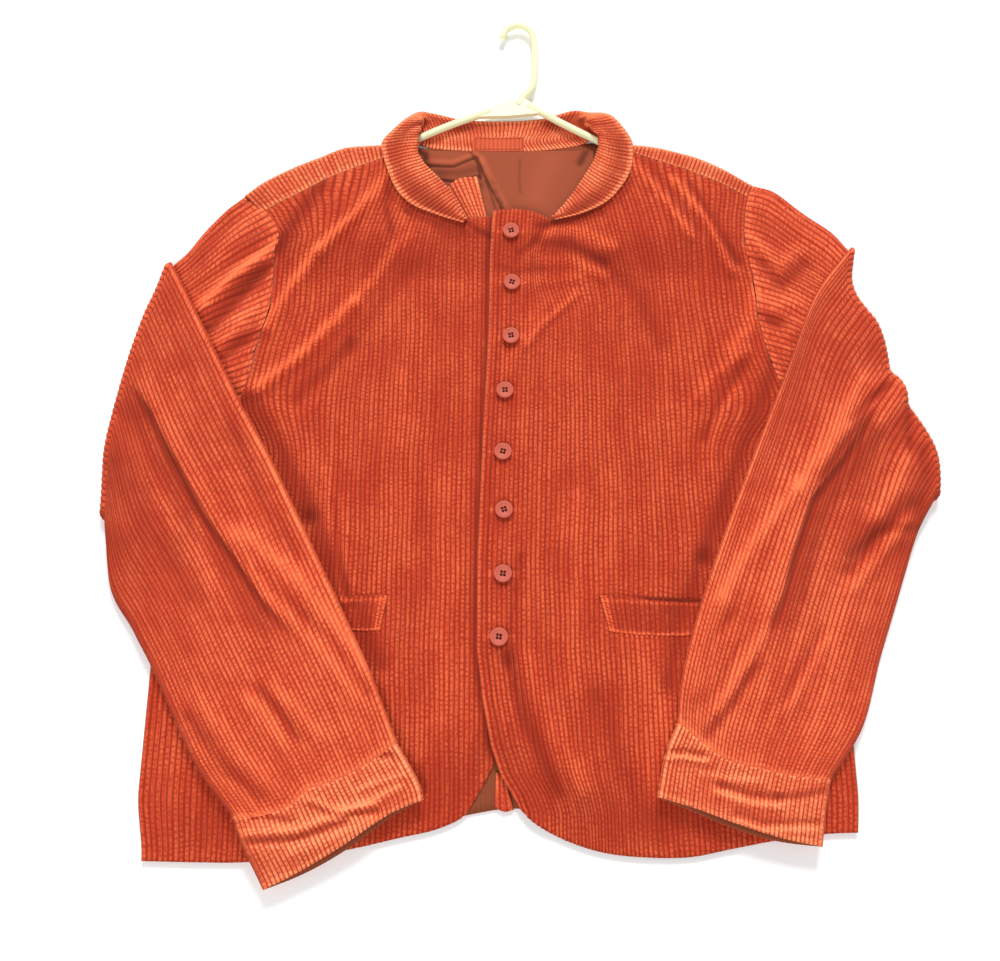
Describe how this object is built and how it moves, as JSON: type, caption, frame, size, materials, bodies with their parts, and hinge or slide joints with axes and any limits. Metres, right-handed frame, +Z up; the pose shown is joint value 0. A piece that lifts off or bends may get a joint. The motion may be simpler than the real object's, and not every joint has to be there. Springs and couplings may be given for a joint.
{
  "type": "corduroy jacket",
  "caption": "Button-up jumbo corduroy jacket with a small rounded collar, laid flat with its sleeves folded in and a plastic hanger in its neck.",
  "frame": {"origin": "middle of the footprint, on the surface that the jacket lies on", "axes": "+Z up from the surface, +Y towards the collar, +X towards the side with the buttonholes' front, on the right as seen from the front"},
  "size_m": [0.7576, 0.848, 0.0229],
  "materials": {
    "corduroy": "jumbo corduroy, worn cotton pile",
    "lining": "smooth lining",
    "label": "woven label, bare",
    "button": "moulded, slightly glossy",
    "plastic": "moulded pale plastic"
  },
  "bodies": {
    "root": {"back": "corduroy", "front_under": "corduroy", "front_over": "corduroy", "shoulder_strip_left": "corduroy", "shoulder_strip_right": "corduroy", "sleeve_left": "corduroy", "cuff_left": "corduroy", "sleeve_right": "corduroy", "cuff_right": "corduroy", "collar": "corduroy", "pocket_welt_left": "corduroy", "pocket_welt_right": "corduroy", "button_1": "button", "button_2": "button", "button_3": "button", "button_4": "button", "button_5": "button", "button_6": "button", "button_7": "button", "button_8": "button", "back_lining": "lining", "neck_facing": "corduroy", "label": "label", "hanger": "plastic"}
  },
  "joints": []
}
